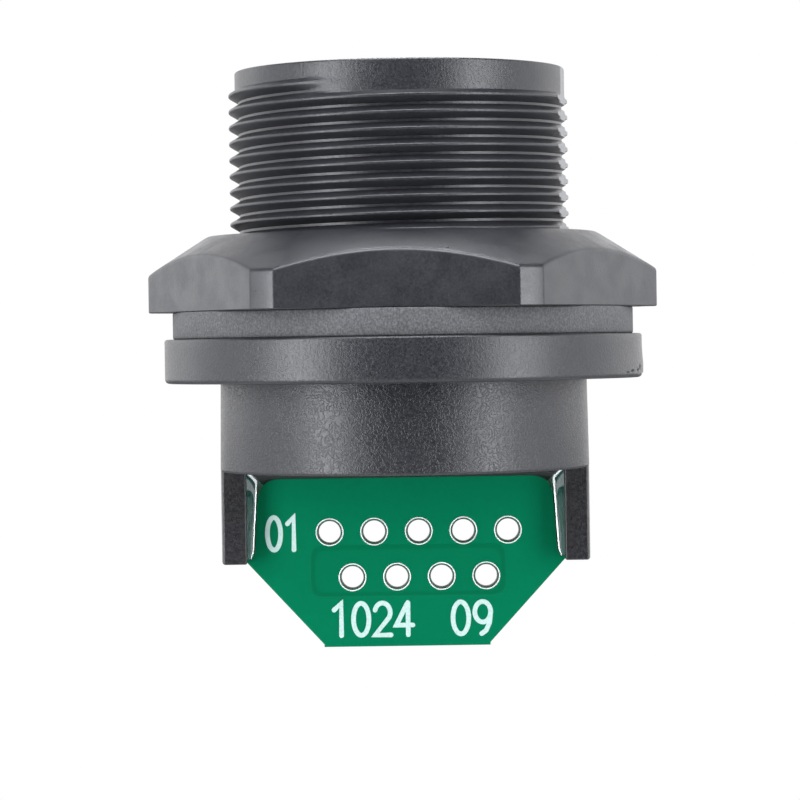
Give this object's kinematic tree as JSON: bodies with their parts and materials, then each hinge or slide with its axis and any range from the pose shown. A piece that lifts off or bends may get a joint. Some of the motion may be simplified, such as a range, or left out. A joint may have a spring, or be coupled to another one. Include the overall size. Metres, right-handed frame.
{
  "type": "ethernet panel connector",
  "caption": "Round threaded panel connector with a sealed modular ethernet jack, hexagonal lock nut, flat gasket and a solder board at its back.",
  "frame": {"origin": "on the barrel's axis, in the plane where the panel's back face bears on the gasket", "axes": "+Z along the barrel, out of its mouth; the solder board lies in the XZ plane; the barrel's flat faces nearly +X"},
  "size_m": [0.0474, 0.0446, 0.0537],
  "materials": {
    "housing_plastic": "fine satin grain",
    "nut_plastic": "fine satin grain",
    "gasket_rubber": "matt, finely speckled",
    "jack_plastic": "satin",
    "block_plastic": "satin",
    "shield_metal": "tinned",
    "board_laminate": "satin solder mask",
    "solder_metal": "bright",
    "clear_resin": "clear gloss",
    "contact_gold": "gold plated",
    "hole_tin": "tinned"
  },
  "bodies": {
    "connector": {"housing": "housing_plastic", "panel_gasket": "gasket_rubber", "jack_body": "jack_plastic", "contact_block": "block_plastic", "jack_shield": "shield_metal", "solder_board": "board_laminate", "tail_solder": "solder_metal", "potting": "clear_resin", "contact_1": "contact_gold", "contact_2": "contact_gold", "contact_3": "contact_gold", "contact_4": "contact_gold", "contact_5": "contact_gold", "contact_6": "contact_gold", "contact_7": "contact_gold", "contact_8": "contact_gold", "plated_hole_1": "hole_tin", "plated_hole_2": "hole_tin", "plated_hole_3": "hole_tin", "plated_hole_4": "hole_tin", "plated_hole_5": "hole_tin", "plated_hole_6": "hole_tin", "plated_hole_7": "hole_tin", "plated_hole_8": "hole_tin", "plated_hole_9": "hole_tin"},
    "nut": {"lock_nut": "nut_plastic"}
  },
  "joints": [
    {"name": "nut_travel", "type": "slide", "parent": "connector", "child": "nut", "axis": [0, 0, 1], "range_m": [0, 0.0135]}
  ]
}
